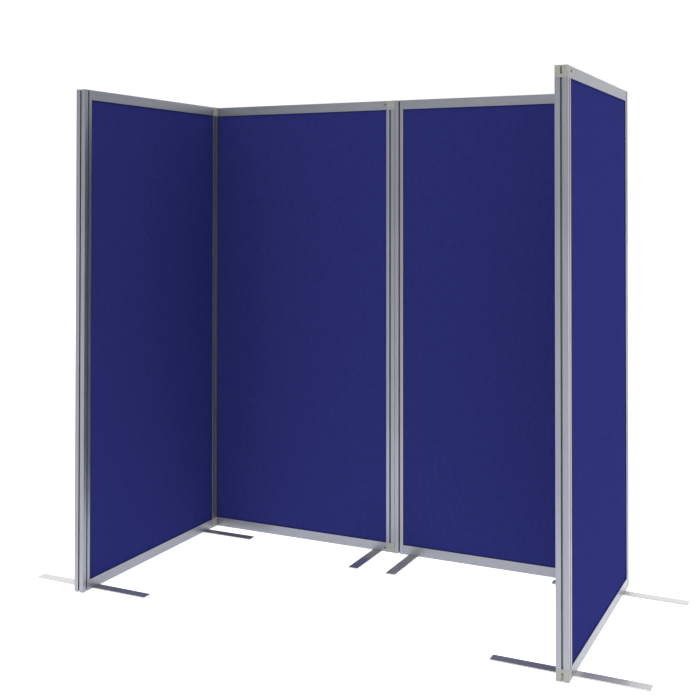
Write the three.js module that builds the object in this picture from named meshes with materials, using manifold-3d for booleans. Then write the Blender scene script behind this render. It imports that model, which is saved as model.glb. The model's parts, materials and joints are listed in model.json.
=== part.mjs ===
// A free-standing exhibition partition wall: four identical framed panels locked into a U, on flat feet.
// Millimetres, +Z up. The U is open towards -Y. The origin is on the floor, under the middle of its box.
//
// Each panel has its own frame: x runs along its width from the plain end to the lock end, y across its
// thickness (-y is the inside of the U), z up from the underside of its bottom rail.
// Each lock has a corner frame: x runs inwards from the panel's end face, y across the thickness, and z runs
// inwards from the panel's outer edge, so that the top and bottom locks are one design.

import * as THREE from 'three';
import { mergeVertices } from 'three/addons/utils/BufferGeometryUtils.js';
import Module from 'manifold-3d';

const wasm = await Module();
wasm.setup();

// ---- Driving dimensions ----

const gap = 0.3; // clearance between neighbouring solids

const panelWidth = 900;
const panelHeight = 1857;
const thickness = 41;
const faceWidth = 37.5; // face of every upright and rail
const half = thickness / 2;

const wall = 2.5; // outer wall of the extrusions
const web = 2; // inner walls of the extrusions
const edgeRound = 1.2;

const grooveOpening = 6.5;
const grooveChamber = 14;
const grooveDepth = 10.5;
const sideGroovePlace = half; // a side groove's middle lies this far from the panel's end

const channelDepth = 6; // the board's edge sits this deep in the frame
const channelHalf = 16.8;
const channelFloor = faceWidth - channelDepth;
const lipChamfer = 1;

const guideLinePlace = 15.5; // drill guide line and key hole, from the rail's outer edge
const guideLineHalf = 0.5;
const guideLineDepth = 0.3;

const fabricHalf = 16.5; // each fabric face lies 4 mm behind the frame's face
const fabricThickness = 1.3;

const lockSlotLength = 26.5;
const lockSlotHalf = 2.6;
const lockSlotMouth = 8; // the slot is open at the panel's outer edge only this deep
const lockSlotRoof = 2.5; // behind the mouth, the slot starts this far from the outer edge
const tongueThickness = 4.6;
const tongueLow = 3;
const tongueHigh = 23;
const tongueNoseChamfer = 2;
const tongueTail = 4.5; // metal behind the cam pin's slot
const tongueReach = 7.5; // how far an engaged tongue stands out of the end face
const tongueTravel = 12;

const camPlace = 43; // cam axis, from the panel's end face
const camEccentricity = tongueTravel / 2;
const camRadius = 9;
const camPinRadius = 2.5;
const camEnd = 17.5; // outer face of each cam journal, from the middle of the thickness
const camPinPlay = 1.45; // the pin's spare room each way along the tongue
const keySocketAcrossFlats = 5;
const keySocketDepth = 11;
const keyHoleRadius = 3.2; // on the inside of the U
const keyRecessRadius = 5.5; // on the outside

const spigotLength = 22.5;
const spigotHalf = 17.7;

const footLength = 500;
const footWidth = 40;
const footThickness = 4;
const footCorner = 2;
const footPlace = 80; // from a panel's end to the middle of its foot
const footPegOffset = 12;
const footPegRadius = 2.9;
const footPegTop = 2;
const footHoleRadius = 3.3;

const screwRadius = 2.9;
const screwHeadRadius = 5.7;
const screwHeadHeight = 2.8;
const screwTop = 12;
const screwTipChamfer = 1;
const screwHeadRecess = 0.2; // the head lies this far inside the bar's underside
const screwSocketAcrossFlats = 4;
const screwSocketDepth = 2;

const roundSides = 24;
const smallRoundSides = 16;
const overcut = 1; // how far a cutting solid stands out of what it cuts
const weldDistance = 1e-4;

// ---- Materials ----

const anodised = new THREE.MeshStandardMaterial({ color: 0xa2a5ae, roughness: 0.38, metalness: 0.9 });
const blockGrey = new THREE.MeshStandardMaterial({ color: 0xa8a89e, roughness: 0.5, metalness: 0.1 });
const blueFabric = new THREE.MeshStandardMaterial({ color: 0x282c6b, roughness: 0.95, metalness: 0 });
const boardCore = new THREE.MeshStandardMaterial({ color: 0xb49a76, roughness: 0.9, metalness: 0 });
const blackenedSteel = new THREE.MeshStandardMaterial({ color: 0x6e6e6b, roughness: 0.35, metalness: 1 });
const polishedSteel = new THREE.MeshStandardMaterial({ color: 0xc8c9cc, roughness: 0.12, metalness: 1 });

// ---- Solids ----

function toSolid(geometry) {
  geometry.deleteAttribute('normal');
  geometry.deleteAttribute('uv');
  const merged = mergeVertices(geometry, weldDistance);
  const mesh = new wasm.Mesh({
    numProp: 3,
    vertProperties: new Float32Array(merged.attributes.position.array),
    triVerts: new Uint32Array(merged.index.array),
  });
  return new wasm.Manifold(mesh);
}

function fromSolid(solid) {
  const mesh = solid.getMesh();
  const geometry = new THREE.BufferGeometry();
  geometry.setAttribute('position', new THREE.BufferAttribute(new Float32Array(mesh.vertProperties), 3));
  geometry.setIndex(new THREE.BufferAttribute(new Uint32Array(mesh.triVerts), 1));
  geometry.computeVertexNormals();
  return geometry;
}

function box([x0, x1], [y0, y1], [z0, z1]) {
  const geometry = new THREE.BoxGeometry(x1 - x0, y1 - y0, z1 - z0);
  return geometry.translate((x0 + x1) / 2, (y0 + y1) / 2, (z0 + z1) / 2);
}

function cylinderAlongY(radius, x, [y0, y1], z, sides = roundSides) {
  const geometry = new THREE.CylinderGeometry(radius, radius, y1 - y0, sides);
  return geometry.translate(x, (y0 + y1) / 2, z);
}

function coneAlongZ(lowRadius, highRadius, x, y, [z0, z1], sides = smallRoundSides) {
  const geometry = new THREE.CylinderGeometry(highRadius, lowRadius, z1 - z0, sides);
  return geometry.rotateX(Math.PI / 2).translate(x, y, (z0 + z1) / 2);
}

function hexRadius(acrossFlats) {
  return acrossFlats / Math.sqrt(3);
}

// A quarter-round corner of an outline, from one angle to the next.
function cornerArc(centreX, centreY, radius, fromDegrees) {
  const steps = 3;
  const points = [];
  for (let i = 0; i <= steps; i += 1) {
    const angle = THREE.MathUtils.degToRad(fromDegrees - (90 * i) / steps);
    points.push([centreX + radius * Math.cos(angle), centreY + radius * Math.sin(angle)]);
  }
  return points;
}

function shapeOf(points, holes = []) {
  const shape = new THREE.Shape(points.map(([x, y]) => new THREE.Vector2(x, y)));
  for (const hole of holes) {
    shape.holes.push(new THREE.Path(hole.map(([x, y]) => new THREE.Vector2(x, y))));
  }
  return shape;
}

function rectangle([x0, x1], [y0, y1]) {
  return [[x0, y0], [x1, y0], [x1, y1], [x0, y1]];
}

// Extrudes an outline drawn in x and y from z = low to z = high.
function extrudeUp(shape, low, high) {
  const geometry = new THREE.ExtrudeGeometry(shape, { depth: high - low, bevelEnabled: false });
  return geometry.translate(0, 0, low);
}

// Turns x, y, z into y, z, x: an outline drawn in thickness and height, extruded along the panel's width.
function layAlongX(geometry) {
  const turn = new THREE.Matrix4().makeBasis(
    new THREE.Vector3(0, 1, 0),
    new THREE.Vector3(0, 0, 1),
    new THREE.Vector3(1, 0, 0),
  );
  return geometry.applyMatrix4(turn);
}

// Turns x, y, z into x, -z, y: an outline drawn in width and height, extruded across the thickness.
function standAcrossY(geometry) {
  return geometry.rotateX(Math.PI / 2);
}

// ---- Frame profiles ----

// The upright's section, x inwards from the panel's end and y across the thickness. A grooved tube: one
// groove in the end face, one in each side face, and a channel for the board on the inner side.
function uprightSection() {
  const opening = grooveOpening / 2;
  const chamber = grooveChamber / 2;
  const sideFloor = half - grooveDepth;
  const skin = half - wall;
  const nearSide = [
    [grooveDepth, chamber],
    [wall, chamber],
    [wall, opening],
    [0, opening],
    ...cornerArc(edgeRound, half - edgeRound, edgeRound, 180),
    [sideGroovePlace - opening, half],
    [sideGroovePlace - opening, skin],
    [sideGroovePlace - chamber, skin],
    [sideGroovePlace - chamber, sideFloor],
    [sideGroovePlace + chamber, sideFloor],
    [sideGroovePlace + chamber, skin],
    [sideGroovePlace + opening, skin],
    [sideGroovePlace + opening, half],
    [faceWidth, half],
    [faceWidth, channelHalf + lipChamfer],
    [faceWidth - lipChamfer, channelHalf],
    [channelFloor, channelHalf],
  ];
  const farSide = nearSide.map(([x, y]) => [x, -y]).reverse();
  const heart = rectangle([grooveDepth + web, channelFloor - web], [web - sideFloor, sideFloor - web]);
  const pocketInner = chamber + web;
  const pocketEnd = sideGroovePlace - chamber - web;
  const pockets = [-1, 1].map((side) => {
    const span = side > 0 ? [pocketInner, skin] : [-skin, -pocketInner];
    return rectangle([wall, pocketEnd], span);
  });
  return shapeOf([...nearSide, ...farSide], [heart, ...pockets]);
}

// The rail's section, x across the thickness and y inwards from the panel's outer edge: a box tube with the
// board's channel on its inner side and a fine guide line along each face.
function railSection() {
  const right = [
    [channelHalf, channelFloor],
    [channelHalf, faceWidth - lipChamfer],
    [channelHalf + lipChamfer, faceWidth],
    [half, faceWidth],
    [half, guideLinePlace + guideLineHalf],
    [half - guideLineDepth, guideLinePlace],
    [half, guideLinePlace - guideLineHalf],
    ...cornerArc(half - edgeRound, edgeRound, edgeRound, 0),
  ];
  const left = right.map(([x, y]) => [-x, y]).reverse();
  const heart = rectangle([wall - half, half - wall], [wall, channelFloor - wall - gap]);
  return shapeOf([...right, ...left], [heart]);
}

function plainUpright() {
  return extrudeUp(uprightSection(), 0, panelHeight);
}

// The lock end's upright, in the same position as the plain one: it stops at the lock blocks.
function lockUpright() {
  return extrudeUp(uprightSection(), faceWidth + gap, panelHeight - faceWidth - gap);
}

function rail(holes) {
  const length = panelWidth - 2 * (faceWidth + gap);
  let solid = toSolid(layAlongX(extrudeUp(railSection(), 0, length)).translate(faceWidth + gap, 0, 0));
  for (const hole of holes) {
    solid = solid.subtract(toSolid(hole));
  }
  return fromSolid(solid);
}

// The key's way in from each side of the panel, at the cam. The outside is at outerSide (1 or -1) in y.
function keyHoles(outerSide) {
  const place = panelWidth - camPlace;
  const reach = half + overcut;
  const inner = [0, -outerSide * reach].sort((a, b) => a - b);
  const outer = [0, outerSide * reach].sort((a, b) => a - b);
  return [
    cylinderAlongY(keyHoleRadius, place, inner, guideLinePlace, smallRoundSides),
    cylinderAlongY(keyRecessRadius, place, outer, guideLinePlace, roundSides),
  ];
}

// Each foot has a hole for its screw and one for its locating peg, nearer the panel's middle.
function footHoles() {
  const holes = [];
  const depth = [-overcut, wall + overcut];
  for (const [place, pegSide] of [[footPlace, 1], [panelWidth - footPlace, -1]]) {
    holes.push(coneAlongZ(footHoleRadius, footHoleRadius, place, 0, depth));
    holes.push(coneAlongZ(footHoleRadius, footHoleRadius, place + pegSide * footPegOffset, 0, depth));
  }
  return holes;
}

// ---- Board and fabric ----

const infillInset = channelFloor + gap; // the board's edges, from the panel's edges

function fabricCover() {
  const outer = rectangle([infillInset, panelWidth - infillInset], [-fabricHalf, fabricHalf]);
  const inner = fabricHalf - fabricThickness;
  const innerInset = infillInset + fabricThickness;
  const hollow = rectangle([innerInset, panelWidth - innerInset], [-inner, inner]);
  return extrudeUp(shapeOf(outer, [hollow]), infillInset, panelHeight - infillInset);
}

function coreBoard() {
  const inset = infillInset + fabricThickness + gap;
  const coreHalf = fabricHalf - fabricThickness - gap;
  return box([inset, panelWidth - inset], [-coreHalf, coreHalf], [infillInset, panelHeight - infillInset]);
}

// ---- Locks, in the corner frame ----

function lockBlock() {
  const outline = [
    [faceWidth, half],
    [faceWidth, -half],
    ...cornerArc(edgeRound, edgeRound - half, edgeRound, 270),
    ...cornerArc(edgeRound, half - edgeRound, edgeRound, 180),
  ];
  const root = faceWidth - overcut;
  const spigotEnd = faceWidth + spigotLength;
  const heart = half - grooveDepth - web - gap;
  const upSpigot = [grooveDepth + web + gap, channelFloor - web - gap];
  const sideSpigot = [wall + gap, channelFloor - wall - 2 * gap];
  const slot = [-lockSlotHalf, lockSlotHalf];
  const boardCorner = [channelFloor, faceWidth + gap];
  const parts = [
    box([root, spigotEnd], [-spigotHalf, spigotHalf], sideSpigot),
    box(upSpigot, [-heart, heart], [root, spigotEnd]),
  ];
  const cuts = [
    box(boardCorner, [-channelHalf, channelHalf], boardCorner),
    box([-overcut, lockSlotMouth], slot, [-overcut, lockSlotLength]),
    box([0, spigotEnd + overcut], slot, [lockSlotRoof, lockSlotLength]),
    cylinderAlongY(camRadius + gap, camPlace, [-camEnd - gap, camEnd + gap], guideLinePlace),
  ];
  let solid = toSolid(extrudeUp(shapeOf(outline), 0, faceWidth));
  for (const part of parts) {
    solid = solid.add(toSolid(part));
  }
  for (const cut of cuts) {
    solid = solid.subtract(toSolid(cut));
  }
  return fromSolid(solid);
}

// The tongue's nose is at x = 0. The cam's pin works in its upright slot.
function lockTongue() {
  const pinRoom = camPinRadius + camPinPlay;
  const slotMiddle = camPlace - camEccentricity + tongueReach;
  const slotLow = guideLinePlace - camEccentricity - camPinRadius - 2 * gap;
  const slotHigh = guideLinePlace + camPinRadius + 2 * gap;
  const tail = slotMiddle + pinRoom + tongueTail;
  const outline = [
    [0, tongueLow + tongueNoseChamfer],
    [tongueNoseChamfer, tongueLow],
    [tail, tongueLow],
    [tail, tongueHigh],
    [tongueNoseChamfer, tongueHigh],
    [0, tongueHigh - tongueNoseChamfer],
  ];
  const slot = rectangle([slotMiddle - pinRoom, slotMiddle + pinRoom], [slotLow, slotHigh]);
  return standAcrossY(extrudeUp(shapeOf(outline, [slot]), -tongueThickness / 2, tongueThickness / 2));
}

// Two journals joined by an eccentric pin, about their own axis, with the pin drawn back (towards +x).
function lockCam() {
  const pinSpan = [-lockSlotHalf - overcut, lockSlotHalf + overcut];
  let solid = toSolid(cylinderAlongY(camPinRadius, camEccentricity, pinSpan, 0, smallRoundSides));
  const socketRadius = hexRadius(keySocketAcrossFlats);
  for (const side of [-1, 1]) {
    const journal = [side * lockSlotHalf, side * camEnd].sort((a, b) => a - b);
    const socket = [side * (camEnd - keySocketDepth), side * (camEnd + overcut)].sort((a, b) => a - b);
    solid = solid.add(toSolid(cylinderAlongY(camRadius, 0, journal, 0)));
    solid = solid.subtract(toSolid(cylinderAlongY(socketRadius, 0, socket, 0, 6)));
  }
  return fromSolid(solid);
}

// ---- Feet, in the panel's frame, about the middle of the foot ----

function footBar(pegSide) {
  const low = -gap - footThickness;
  const outline = [
    ...cornerArc(footWidth / 2 - footCorner, footLength / 2 - footCorner, footCorner, 90),
    ...cornerArc(footWidth / 2 - footCorner, footCorner - footLength / 2, footCorner, 0),
    ...cornerArc(footCorner - footWidth / 2, footCorner - footLength / 2, footCorner, 270),
    ...cornerArc(footCorner - footWidth / 2, footLength / 2 - footCorner, footCorner, 180),
  ];
  const pegPlace = pegSide * footPegOffset;
  const peg = coneAlongZ(footPegRadius, footPegRadius, pegPlace, 0, [low + overcut, footPegTop]);
  const shank = coneAlongZ(footHoleRadius, footHoleRadius, 0, 0, [low - overcut, 0]);
  const sinkRadius = screwHeadRadius + 2 * gap;
  const sinkDepth = screwHeadHeight + gap;
  const sink = coneAlongZ(sinkRadius, footHoleRadius, 0, 0, [low - weldDistance, low + sinkDepth]);
  const bar = toSolid(extrudeUp(shapeOf(outline), low, -gap));
  return fromSolid(bar.add(toSolid(peg)).subtract(toSolid(shank)).subtract(toSolid(sink)));
}

function footScrew() {
  const low = screwHeadRecess - gap - footThickness;
  const profile = [
    [0, low],
    [screwHeadRadius, low],
    [screwRadius, low + screwHeadHeight],
    [screwRadius, screwTop - screwTipChamfer],
    [screwRadius - screwTipChamfer, screwTop],
    [0, screwTop],
  ].map(([x, y]) => new THREE.Vector2(x, y));
  const screw = toSolid(new THREE.LatheGeometry(profile, smallRoundSides).rotateX(Math.PI / 2));
  const socketRadius = hexRadius(screwSocketAcrossFlats);
  const socket = coneAlongZ(socketRadius, socketRadius, 0, 0, [low - overcut, low + screwSocketDepth], 6);
  return fromSolid(screw.subtract(toSolid(socket)));
}

// ---- Assembly ----

function piece(name, geometry, material) {
  const mesh = new THREE.Mesh(geometry, material);
  mesh.name = name;
  return mesh;
}

// reach is how far the tongue's nose stands out of the end face, from drawn back to engaged.
function lock(name, reach) {
  const tongue = piece(`${name}_tongue`, lockTongue(), blackenedSteel);
  tongue.position.x = -reach;
  const cam = piece(`${name}_cam`, lockCam(), blackenedSteel);
  cam.position.set(camPlace, 0, guideLinePlace);
  cam.rotation.y = Math.PI * (1 - (tongueReach - reach) / tongueTravel);
  const group = new THREE.Group();
  group.add(piece(`${name}_block`, lockBlock(), blockGrey), tongue, cam);
  return group;
}

// Places a corner group at the lock end, at the top or the bottom of the panel.
function placeLock(group, atTop) {
  group.position.set(panelWidth, 0, atTop ? panelHeight : 0);
  group.rotation.set(0, atTop ? Math.PI : 0, atTop ? 0 : Math.PI);
  return group;
}

function foot(name, place, pegSide) {
  const group = new THREE.Group();
  group.add(piece(`${name}_foot_bar`, footBar(pegSide), polishedSteel));
  group.add(piece(`${name}_foot_screw`, footScrew(), blackenedSteel));
  group.position.x = place;
  return group;
}

function panel(name, { topReach = tongueReach, bottomReach = tongueReach, feet }) {
  const group = new THREE.Group();
  const farUpright = piece(`${name}_lock_upright`, lockUpright(), anodised);
  farUpright.rotation.z = Math.PI;
  farUpright.position.x = panelWidth;
  const topRail = piece(`${name}_top_rail`, rail(keyHoles(-1)), anodised);
  topRail.rotation.x = Math.PI;
  topRail.position.z = panelHeight;
  group.add(
    piece(`${name}_plain_upright`, plainUpright(), anodised),
    farUpright,
    topRail,
    piece(`${name}_bottom_rail`, rail([...keyHoles(1), ...footHoles()]), anodised),
    piece(`${name}_core_board`, coreBoard(), boardCore),
    piece(`${name}_fabric_cover`, fabricCover(), blueFabric),
    placeLock(lock(`${name}_top`, topReach), true),
    placeLock(lock(`${name}_bottom`, bottomReach), false),
  );
  for (const end of feet) {
    const atPlainEnd = end === 'plain';
    const place = atPlainEnd ? footPlace : panelWidth - footPlace;
    group.add(foot(`${name}_${end}_end`, place, atPlainEnd ? 1 : -1));
  }
  return group;
}

// Places a panel's plain end at x, y and turns its width to the given heading.
function placePanel(group, x, y, headingDegrees) {
  group.position.set(x, y, footThickness + gap);
  group.rotation.z = THREE.MathUtils.degToRad(headingDegrees);
  return group;
}

// x = 0 is the seam between the two back panels, and y = 0 is their inner face. Each panel's lock end butts
// on its neighbour's plain end: in line at the back, and on the side groove at both corners. The right wing's
// own lock end is free, its top tongue drawn back and its bottom tongue flush with the block.
const wallGroup = new THREE.Group();
const farLeft = -panelWidth - gap;
const freeTopReach = tongueReach - tongueTravel;
const freeBottomReach = -0.5;
wallGroup.add(
  placePanel(panel('back_left', { feet: ['lock'] }), farLeft, half, 0),
  placePanel(panel('back_right', { feet: ['plain'] }), 0, half, 0),
  placePanel(panel('left_wing', { feet: ['plain', 'lock'] }), farLeft + half, -panelWidth - gap, 90),
  placePanel(
    panel('right_wing', { feet: ['plain', 'lock'], topReach: freeTopReach, bottomReach: freeBottomReach }),
    panelWidth + gap + half,
    thickness,
    -90,
  ),
);

// The outer box: the wings' feet reach furthest left and right, the left wing's end is furthest forward, and
// the back panels' feet are furthest back.
const leftmost = farLeft + half - footLength / 2;
const rightmost = panelWidth + gap + half + footLength / 2;
const foremost = -panelWidth - gap;
const hindmost = half + footLength / 2;
wallGroup.position.set(-(leftmost + rightmost) / 2, -(foremost + hindmost) / 2, 0);

const partitionWall = new THREE.Group();
partitionWall.add(wallGroup);

export default partitionWall;
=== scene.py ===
import json
import math

import bmesh
import bpy
from mathutils import Matrix, Vector, noise

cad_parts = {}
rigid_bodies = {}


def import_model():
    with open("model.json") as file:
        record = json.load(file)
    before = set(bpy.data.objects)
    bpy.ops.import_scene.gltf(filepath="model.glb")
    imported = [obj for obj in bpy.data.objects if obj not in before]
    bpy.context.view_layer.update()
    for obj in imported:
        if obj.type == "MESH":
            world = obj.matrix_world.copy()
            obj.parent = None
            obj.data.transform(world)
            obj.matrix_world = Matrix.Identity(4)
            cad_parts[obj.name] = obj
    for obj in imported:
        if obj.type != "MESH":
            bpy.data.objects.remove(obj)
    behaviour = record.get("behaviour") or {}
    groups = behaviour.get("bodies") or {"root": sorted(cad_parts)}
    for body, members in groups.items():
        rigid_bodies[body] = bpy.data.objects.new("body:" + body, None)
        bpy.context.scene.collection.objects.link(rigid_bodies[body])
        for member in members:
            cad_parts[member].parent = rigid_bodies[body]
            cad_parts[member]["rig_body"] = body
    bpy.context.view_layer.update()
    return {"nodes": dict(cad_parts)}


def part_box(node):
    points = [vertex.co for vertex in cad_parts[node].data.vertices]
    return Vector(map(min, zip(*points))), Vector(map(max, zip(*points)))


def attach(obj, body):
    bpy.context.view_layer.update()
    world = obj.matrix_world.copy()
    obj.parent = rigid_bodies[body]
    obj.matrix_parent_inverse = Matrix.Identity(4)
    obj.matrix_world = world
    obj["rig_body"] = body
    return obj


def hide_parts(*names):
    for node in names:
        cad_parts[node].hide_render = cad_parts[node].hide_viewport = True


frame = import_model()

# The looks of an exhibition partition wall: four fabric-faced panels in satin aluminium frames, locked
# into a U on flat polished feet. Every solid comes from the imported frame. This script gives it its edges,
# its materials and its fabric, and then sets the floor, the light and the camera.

MM = 0.001

PANELS = ("left_wing", "back_left", "back_right", "right_wing")

# ---- Node helpers ----


def add(tree, kind, inputs=None, **settings):
    """Adds a node. Each input is a value, or a socket to link from."""
    node = tree.nodes.new(kind)
    for name, value in settings.items():
        setattr(node, name, value)
    for name, value in (inputs or {}).items():
        if isinstance(value, bpy.types.NodeSocket):
            tree.links.new(value, node.inputs[name])
        else:
            node.inputs[name].default_value = value
    return node


def new_material(name, **uniform):
    """A material with one Principled shader, whose uniform values are set on its own sockets."""
    material = bpy.data.materials.new(name)
    material.use_nodes = True
    tree = material.node_tree
    tree.nodes.clear()
    surface = add(tree, "ShaderNodeBsdfPrincipled")
    for socket, value in uniform.items():
        surface.inputs[socket.replace("_", " ")].default_value = value
    output = add(tree, "ShaderNodeOutputMaterial", {"Surface": surface.outputs["BSDF"]})
    output.is_active_output = True
    return material, tree, surface


NOISE_ROUGHNESS = 0.55
CELL_RANDOMNESS = 0.9


def grain(tree, stretch, detail=3.0):
    """Noise in the piece's own coordinates, with so many features per metre along each axis."""
    place = add(tree, "ShaderNodeTexCoord").outputs["Object"]
    stretched = add(tree, "ShaderNodeMapping", {"Vector": place, "Scale": stretch}).outputs["Vector"]
    inputs = {"Vector": stretched, "Scale": 1.0, "Detail": detail, "Roughness": NOISE_ROUGHNESS}
    return add(tree, "ShaderNodeTexNoise", inputs).outputs["Fac"]


def cells(tree, per_metre):
    """Distance from the middle of small cells, such as the loops of a fabric."""
    place = add(tree, "ShaderNodeTexCoord").outputs["Object"]
    inputs = {"Vector": place, "Scale": per_metre, "Randomness": CELL_RANDOMNESS}
    return add(tree, "ShaderNodeTexVoronoi", inputs).outputs["Distance"]


def ramp(tree, factor, stops):
    """Turns a factor into a colour through (position, colour) stops."""
    node = add(tree, "ShaderNodeValToRGB", {"Fac": factor})
    elements = node.color_ramp.elements
    while len(elements) < len(stops):
        elements.new(1.0)
    for element, (position, colour) in zip(elements, stops):
        element.position = position
        element.color = (*colour, 1.0)
    return node.outputs["Color"]


def spread(tree, value, low, high, source=(0.3, 0.7), interpolation="LINEAR"):
    """Spreads a value that runs over the source range over the range from low to high."""
    inputs = {
        "Value": value,
        "From Min": source[0],
        "From Max": source[1],
        "To Min": low,
        "To Max": high,
    }
    return add(tree, "ShaderNodeMapRange", inputs, interpolation_type=interpolation).outputs["Result"]


def combine(tree, operation, first, second):
    node = add(tree, "ShaderNodeMath", {0: first, 1: second}, operation=operation)
    return node.outputs["Value"]


def weighted_sum(tree, *parts):
    """Adds up (value, weight) pairs."""
    terms = [combine(tree, "MULTIPLY", value, weight) for value, weight in parts]
    total = terms[0]
    for term in terms[1:]:
        total = combine(tree, "ADD", total, term)
    return total


def relief(tree, surface, height, depth, strength=1.0):
    """Joins a height to the shader's normal. The depth is in metres."""
    bump = add(tree, "ShaderNodeBump", {"Height": height, "Distance": depth, "Strength": strength})
    tree.links.new(bump.outputs["Normal"], surface.inputs["Normal"])


def join(tree, surface, **sockets):
    """Links node outputs to the shader's sockets."""
    for socket, output in sockets.items():
        tree.links.new(output, surface.inputs[socket.replace("_", " ")])


# ---- Materials. Bars run along their own x axis, so drawn lines follow each bar. ----


def anodised_aluminium():
    """Satin anodised extrusion: die lines along the bar, faint clouding and a few handling marks."""
    material, tree, surface = new_material("anodised_aluminium", Metallic=0.8)
    die_lines = grain(tree, (5, 1100, 1100))
    clouds = grain(tree, (4, 22, 22), detail=2.0)
    marks = grain(tree, (40, 260, 260), detail=1.0)
    tone = weighted_sum(tree, (die_lines, 0.6), (clouds, 0.4))
    shades = [
        (0.35, (0.265, 0.275, 0.310)),
        (0.5, (0.295, 0.305, 0.342)),
        (0.65, (0.325, 0.335, 0.375)),
    ]
    colour = ramp(tree, tone, shades)
    dullness = spread(tree, marks, 0.0, 0.08, (0.6, 0.75))
    roughness = combine(tree, "ADD", spread(tree, die_lines, 0.3, 0.42), dullness)
    join(tree, surface, Base_Color=colour, Roughness=roughness)
    relief(tree, surface, die_lines, 0.05 * MM, 0.5)
    return material


def loop_fabric():
    """Royal blue loop-pile display fabric: small loops, stray fibres and slight shading in the pile."""
    material, tree, surface = new_material(
        "loop_fabric",
        Roughness=0.95,
        Sheen_Weight=0.01,
        Sheen_Roughness=0.5,
        Sheen_Tint=(0.2, 0.22, 0.8, 1.0),
        Specular_IOR_Level=0.0,
    )
    loops = cells(tree, 800)
    fibres = grain(tree, (2600, 2600, 900), detail=2.0)
    pile = grain(tree, (60, 60, 30), detail=3.0)
    pattern = weighted_sum(tree, (loops, -0.5), (fibres, 0.5))
    shade = combine(tree, "ADD", pattern, combine(tree, "MULTIPLY", pile, 0.2))
    centred = combine(tree, "ADD", shade, 0.32)
    blues = [
        (0.2, (0.014, 0.016, 0.09)),
        (0.45, (0.026, 0.030, 0.165)),
        (0.7, (0.038, 0.044, 0.225)),
    ]
    join(tree, surface, Base_Color=ramp(tree, centred, blues))
    relief(tree, surface, pattern, 0.5 * MM, 0.6)
    return material


def moulded_block():
    """Warm grey moulded corner block with a fine spark-eroded grain."""
    material, tree, surface = new_material("moulded_block", Specular_IOR_Level=0.45)
    speckle = grain(tree, (1500, 1500, 1500), detail=2.0)
    flow = grain(tree, (40, 90, 60), detail=2.0)
    colour = ramp(tree, flow, [(0.3, (0.278, 0.278, 0.257)), (0.7, (0.332, 0.332, 0.310))])
    join(tree, surface, Base_Color=colour, Roughness=spread(tree, speckle, 0.42, 0.6))
    relief(tree, surface, speckle, 0.06 * MM, 0.6)
    return material


def lock_steel():
    """Blackened steel lock parts with cutter marks and slightly patchy blacking."""
    material, tree, surface = new_material("lock_steel", Metallic=1.0)
    cuts = grain(tree, (60, 1800, 300), detail=2.0)
    blacking = grain(tree, (90, 90, 90), detail=3.0)
    colour = ramp(tree, blacking, [(0.3, (0.12, 0.12, 0.115)), (0.7, (0.185, 0.185, 0.18))])
    join(tree, surface, Base_Color=colour, Roughness=spread(tree, cuts, 0.24, 0.42))
    relief(tree, surface, cuts, 0.04 * MM, 0.5)
    return material


def polished_steel():
    """Bright rolled foot bar under clear lacquer, with fine rolling lines along it and light scuffs."""
    material, tree, surface = new_material(
        "polished_steel",
        Metallic=0.93,
        Coat_Weight=1.0,
        Coat_Roughness=0.1,
        Coat_IOR=1.65,
    )
    rolling = grain(tree, (3, 900, 900), detail=2.0)
    scuffs = grain(tree, (70, 150, 150), detail=3.0)
    colour = ramp(tree, rolling, [(0.3, (0.530, 0.523, 0.515)), (0.7, (0.588, 0.580, 0.572))])
    dullness = spread(tree, scuffs, 0.0, 0.1, (0.55, 0.75))
    roughness = combine(tree, "ADD", spread(tree, rolling, 0.48, 0.54), dullness)
    join(tree, surface, Base_Color=colour, Roughness=roughness)
    relief(tree, surface, rolling, 0.01 * MM, 0.4)
    return material


def fibre_board():
    """The pressed board inside the fabric."""
    material, tree, surface = new_material("fibre_board", Roughness=0.9)
    chips = grain(tree, (500, 500, 500), detail=4.0)
    colour = ramp(tree, chips, [(0.3, (0.3, 0.2, 0.11)), (0.7, (0.5, 0.36, 0.22))])
    join(tree, surface, Base_Color=colour)
    relief(tree, surface, chips, 0.3 * MM)
    return material


ALUMINIUM = anodised_aluminium()
FABRIC = loop_fabric()
BLOCK = moulded_block()
STEEL = lock_steel()
POLISHED = polished_steel()
BOARD = fibre_board()

# ---- Pieces made from the frame's solids ----

SAME_POINT = 0.002 * MM
FLAT_ENOUGH = math.radians(0.5)
HARD_EDGE = math.radians(32)  # sharper than the steps of the round parts
BEVEL_STEPS = 2
SLIVER = 0.01 * MM


def bar_frame(low, high):
    """A frame at the middle of a box, with its x axis along the box's longest side."""
    size = high - low
    axis = max(range(3), key=lambda i: size[i])
    turn = Vector((1, 0, 0)).rotation_difference(Vector([float(i == axis) for i in range(3)]))
    return Matrix.Translation((low + high) / 2) @ turn.to_matrix().to_4x4()


def clean_solid(node, own_frame):
    """A node's solid with its flat faces whole again, in the piece's own frame."""
    solid = bmesh.new()
    solid.from_mesh(frame["nodes"][node].data)
    solid.transform(own_frame.inverted())
    bmesh.ops.remove_doubles(solid, verts=solid.verts, dist=SAME_POINT)
    bmesh.ops.dissolve_limit(solid, angle_limit=FLAT_ENOUGH, verts=solid.verts, edges=solid.edges)
    mesh = bpy.data.meshes.new(f"{node}_finished")
    solid.to_mesh(mesh)
    solid.free()
    return mesh


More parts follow.
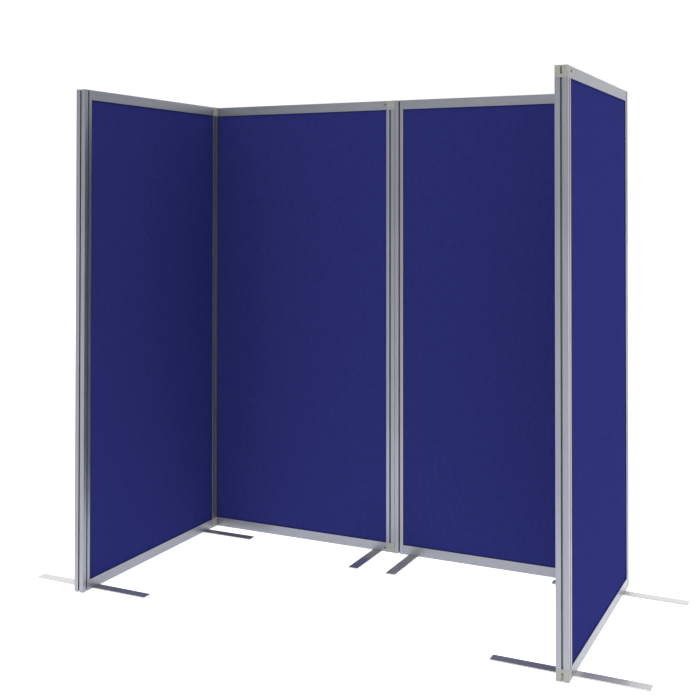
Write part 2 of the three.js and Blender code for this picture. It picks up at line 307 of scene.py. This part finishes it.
def finish_solid(node, material, edge):
    """Shows a node as a finished piece, its edges rounded by so many metres."""
    own_frame = bar_frame(*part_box(node))
    mesh = clean_solid(node, own_frame)
    mesh.materials.append(material)
    mesh.shade_smooth()
    mesh.set_sharp_from_angle(angle=HARD_EDGE)
    piece = bpy.data.objects.new(f"{node}_finished", mesh)
    bpy.context.scene.collection.objects.link(piece)
    piece.matrix_world = own_frame
    bevel = piece.modifiers.new("edges", "BEVEL")
    bevel.width = edge
    bevel.segments = BEVEL_STEPS
    bevel.limit_method = "ANGLE"
    bevel.angle_limit = HARD_EDGE
    piece.modifiers.new("no slivers", "WELD").merge_threshold = SLIVER
    piece.modifiers.new("flat faces stay flat", "WEIGHTED_NORMAL").keep_sharp = True
    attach(piece, frame["nodes"][node]["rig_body"])
    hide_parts(node)
    return piece


FINISHES = (
    ("_upright", ALUMINIUM, "anodised_frame", 0.3 * MM),
    ("_rail", ALUMINIUM, "anodised_frame", 0.3 * MM),
    ("_block", BLOCK, "lock_block", 0.5 * MM),
    ("_tongue", STEEL, "lock_steel", 0.4 * MM),
    ("_cam", STEEL, "lock_steel", 0.3 * MM),
    ("_foot_bar", POLISHED, "polished_foot", 0.5 * MM),
    ("_foot_screw", STEEL, "lock_steel", 0.2 * MM),
)


def finish_all_solids():
    for node in sorted(frame["nodes"]):
        for ending, material, slot, edge in FINISHES:
            if node.endswith(ending):
                finish_solid(node, material, edge)


def finish_boards():
    for panel in PANELS:
        board = frame["nodes"][f"{panel}_core_board"]
        board.data.materials.clear()
        board.data.materials.append(BOARD)


# ---- Fabric ----

FABRIC_THICKNESS = 1.3 * MM
PRESSED_THICKNESS = 0.4 * MM  # where the frame's lips press the pile down
PRESSED_WIDTH = 5 * MM  # from the sheet's edge to where the pile starts to rise
ROLL_WIDTH = 5 * MM  # over which it rises to its full height
UNEVENNESS = 0.12 * MM
RIPPLES = (7, 5)  # per metre across and up, roughly
SIDE_STEP = 3  # the two sides of a board ripple differently
SHEET_EDGE = math.radians(60)
ROLL_STEPS = 6
FACE_STEP = 24 * MM


def panel_frame(panel):
    """The panel's own frame: x from its plain end to its lock end, y outwards from the U, z up."""
    plain_low, plain_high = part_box(f"{panel}_plain_upright")
    lock_low, lock_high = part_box(f"{panel}_lock_upright")
    middle = (plain_low + plain_high) / 2
    along = (lock_low + lock_high) / 2 - middle
    heading = math.atan2(along.y, along.x)
    return Matrix.Translation((middle.x, middle.y, 0)) @ Matrix.Rotation(heading, 4, "Z")


def edge_graded(low, high):
    """Places from low to high, close together where the fabric rolls under the lips."""
    near = [0.0, PRESSED_WIDTH / 2]
    near += [PRESSED_WIDTH + ROLL_WIDTH * i / ROLL_STEPS for i in range(ROLL_STEPS + 1)]
    inner = high - low - 2 * near[-1]
    count = round(inner / FACE_STEP)
    middle = [near[-1] + inner * i / count for i in range(1, count)]
    far = [high - low - place for place in reversed(near)]
    return [low + place for place in near + middle + far]


def pile_height(edge_distance):
    """The sheet's thickness at so far from its nearest edge."""
    share = min(1.0, max(0.0, (edge_distance - PRESSED_WIDTH) / ROLL_WIDTH))
    eased = share * share * (3 - 2 * share)
    return PRESSED_THICKNESS + (FABRIC_THICKNESS - PRESSED_THICKNESS) * eased


def fabric_mesh(name, low, high, side):
    """One closed sheet on the board's face. Side is -1 inside the U and 1 outside it."""
    across = edge_graded(low.x, high.x)
    up = edge_graded(low.z, high.z)
    board_face = side * (max(abs(low.y), abs(high.y)) - FABRIC_THICKNESS)
    sheet = bmesh.new()
    layer = side * SIDE_STEP + low.x
    outer, inner = [], []
    for z in up:
        for x in across:
            edge = min(x - low.x, high.x - x, z - low.z, high.z - z)
            full = min(1.0, edge / FACE_STEP)
            ripple = noise.noise(Vector((x * RIPPLES[0], z * RIPPLES[1], layer))) - 0.5
            height = pile_height(edge) + UNEVENNESS * full * min(0.0, ripple)
            outer.append(sheet.verts.new((x, board_face + side * height, z)))
            inner.append(sheet.verts.new((x, board_face, z)))
    columns, rows = len(across), len(up)
    for row in range(rows - 1):
        for column in range(columns - 1):
            start = row * columns + column
            corners = [start, start + 1, start + columns + 1, start + columns]
            sheet.faces.new([outer[i] for i in corners])
            sheet.faces.new([inner[i] for i in reversed(corners)])
    rim = list(range(columns))
    rim += [row * columns + columns - 1 for row in range(1, rows)]
    rim += [(rows - 1) * columns + i for i in range(columns - 2, -1, -1)]
    rim += [row * columns for row in range(rows - 2, 0, -1)]
    for here, after in zip(rim, rim[1:] + rim[:1]):
        sheet.faces.new([outer[after], outer[here], inner[here], inner[after]])
    bmesh.ops.recalc_face_normals(sheet, faces=sheet.faces)
    mesh = bpy.data.meshes.new(name)
    sheet.to_mesh(mesh)
    sheet.free()
    mesh.shade_smooth()
    mesh.set_sharp_from_angle(angle=SHEET_EDGE)
    mesh.materials.append(FABRIC)
    return mesh


def cover_panel(panel):
    """The two fabric sheets of a panel, bonded to the faces of its board."""
    placed = panel_frame(panel)
    node = f"{panel}_fabric_cover"
    corners = [placed.inverted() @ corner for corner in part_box(node)]
    low = Vector(map(min, *corners))
    high = Vector(map(max, *corners))
    for label, side in (("inner", -1), ("outer", 1)):
        name = f"{panel}_{label}_fabric"
        sheet = bpy.data.objects.new(name, fabric_mesh(name, low, high, side))
        bpy.context.scene.collection.objects.link(sheet)
        sheet.matrix_world = placed
        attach(sheet, "root")
        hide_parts(node)


# ---- Floor, light and camera ----

FLOOR_SIZE = 60.0
FLOOR_DROP = 0.5 * MM  # keeps the floor clear of the feet's undersides
GLOW_INSIDE = 0.95  # under the wall, where it takes the floor's light away
GLOW_OUTSIDE = 0.3
INSIDE_REACH = (0.8, 2.0)  # the glow changes from one to the other over these distances from the middle
FRONT_FADE = (-6.5, -2.0)  # and there is none far in front of the wall


def make_floor():
    """A plain white studio floor that glows under the wall, so that it stays pale there."""
    material, tree, surface = new_material("studio_floor", Roughness=0.9, Specular_IOR_Level=0.1)
    tone = grain(tree, (2, 2, 2), detail=1.0)
    whites = [(0.3, (0.79, 0.79, 0.79)), (0.7, (0.82, 0.82, 0.82))]
    join(tree, surface, Base_Color=ramp(tree, tone, whites))
    place = add(tree, "ShaderNodeTexCoord").outputs["Object"]
    distance = add(tree, "ShaderNodeVectorMath", {0: place}, operation="LENGTH").outputs["Value"]
    depth = add(tree, "ShaderNodeSeparateXYZ", {"Vector": place}).outputs["Y"]
    pool = spread(tree, distance, GLOW_INSIDE, GLOW_OUTSIDE, INSIDE_REACH)
    glow = combine(tree, "MULTIPLY", pool, spread(tree, depth, 0.0, 1.0, FRONT_FADE))
    surface.inputs["Emission Color"].default_value = (1, 1, 1, 1)
    join(tree, surface, Emission_Strength=glow)
    plane = bmesh.new()
    bmesh.ops.create_grid(plane, x_segments=4, y_segments=4, size=FLOOR_SIZE / 2)
    mesh = bpy.data.meshes.new("floor")
    plane.to_mesh(mesh)
    plane.free()
    mesh.materials.append(material)
    floor = bpy.data.objects.new("floor", mesh)
    bpy.context.scene.collection.objects.link(floor)
    floor.location.z = -FLOOR_DROP


FRONT_LEVEL = 0.65  # the room that the wall's inside faces
BACKDROP_LEVEL = 1.02  # the white backdrop behind the wall
BACKDROP_START = (-0.3, 0.3)  # how far back a direction points where one gives way to the other
TOP_EXTRA = 1.0  # what the soft light overhead adds
TOP_START = (0.3, 0.85)  # how far up a direction points where that light comes in
RIGHT_SHARE = 0.2  # how much of all this there is straight to the right
RIGHT_START = (0.68, 1.0)


def make_world():
    """Soft light all round: a white backdrop behind, a dimmer room in front, a bright ceiling."""
    world = bpy.data.worlds.new("studio")
    bpy.context.scene.world = world
    world.use_nodes = True
    tree = world.node_tree
    tree.nodes.clear()
    direction = add(tree, "ShaderNodeTexCoord").outputs["Generated"]
    parts = add(tree, "ShaderNodeSeparateXYZ", {"Vector": direction}).outputs
    behind = spread(tree, parts["Y"], FRONT_LEVEL, BACKDROP_LEVEL, BACKDROP_START, "SMOOTHSTEP")
    overhead = spread(tree, parts["Z"], 0.0, TOP_EXTRA, TOP_START, "SMOOTHSTEP")
    right_side = spread(tree, parts["X"], 1.0, RIGHT_SHARE, RIGHT_START)
    strength = combine(tree, "MULTIPLY", combine(tree, "ADD", behind, overhead), right_side)
    light = add(tree, "ShaderNodeBackground", {"Color": (1, 1, 1, 1), "Strength": strength})
    add(tree, "ShaderNodeOutputWorld", {"Surface": light.outputs["Background"]})


CAMERA_PLACE = (1.7292, -3.7221, 1.4529)
CAMERA_HEADING = math.radians(25.35)
CAMERA_PITCH = math.radians(0.86)
CAMERA_ROLL = math.radians(0.04)
CAMERA_LENS = 54.9
CAMERA_SHIFT = (-0.0128, -0.2379)  # a shift lens keeps the uprights upright and takes in the floor


def make_camera():
    data = bpy.data.cameras.new("camera")
    data.lens = CAMERA_LENS
    data.shift_x, data.shift_y = CAMERA_SHIFT
    camera = bpy.data.objects.new("camera", data)
    bpy.context.scene.collection.objects.link(camera)
    turn = Matrix.Rotation(CAMERA_HEADING, 4, "Z")
    tilt = Matrix.Rotation(math.pi / 2 + CAMERA_PITCH, 4, "X")
    roll = Matrix.Rotation(CAMERA_ROLL, 4, "Z")
    camera.matrix_world = Matrix.Translation(CAMERA_PLACE) @ turn @ tilt @ roll
    bpy.context.scene.camera = camera


def set_colour_handling():
    settings = bpy.context.scene.view_settings
    settings.view_transform = "Standard"
    settings.look = "None"


finish_all_solids()
finish_boards()
for name in PANELS:
    cover_panel(name)
make_floor()
make_world()
make_camera()
set_colour_handling()
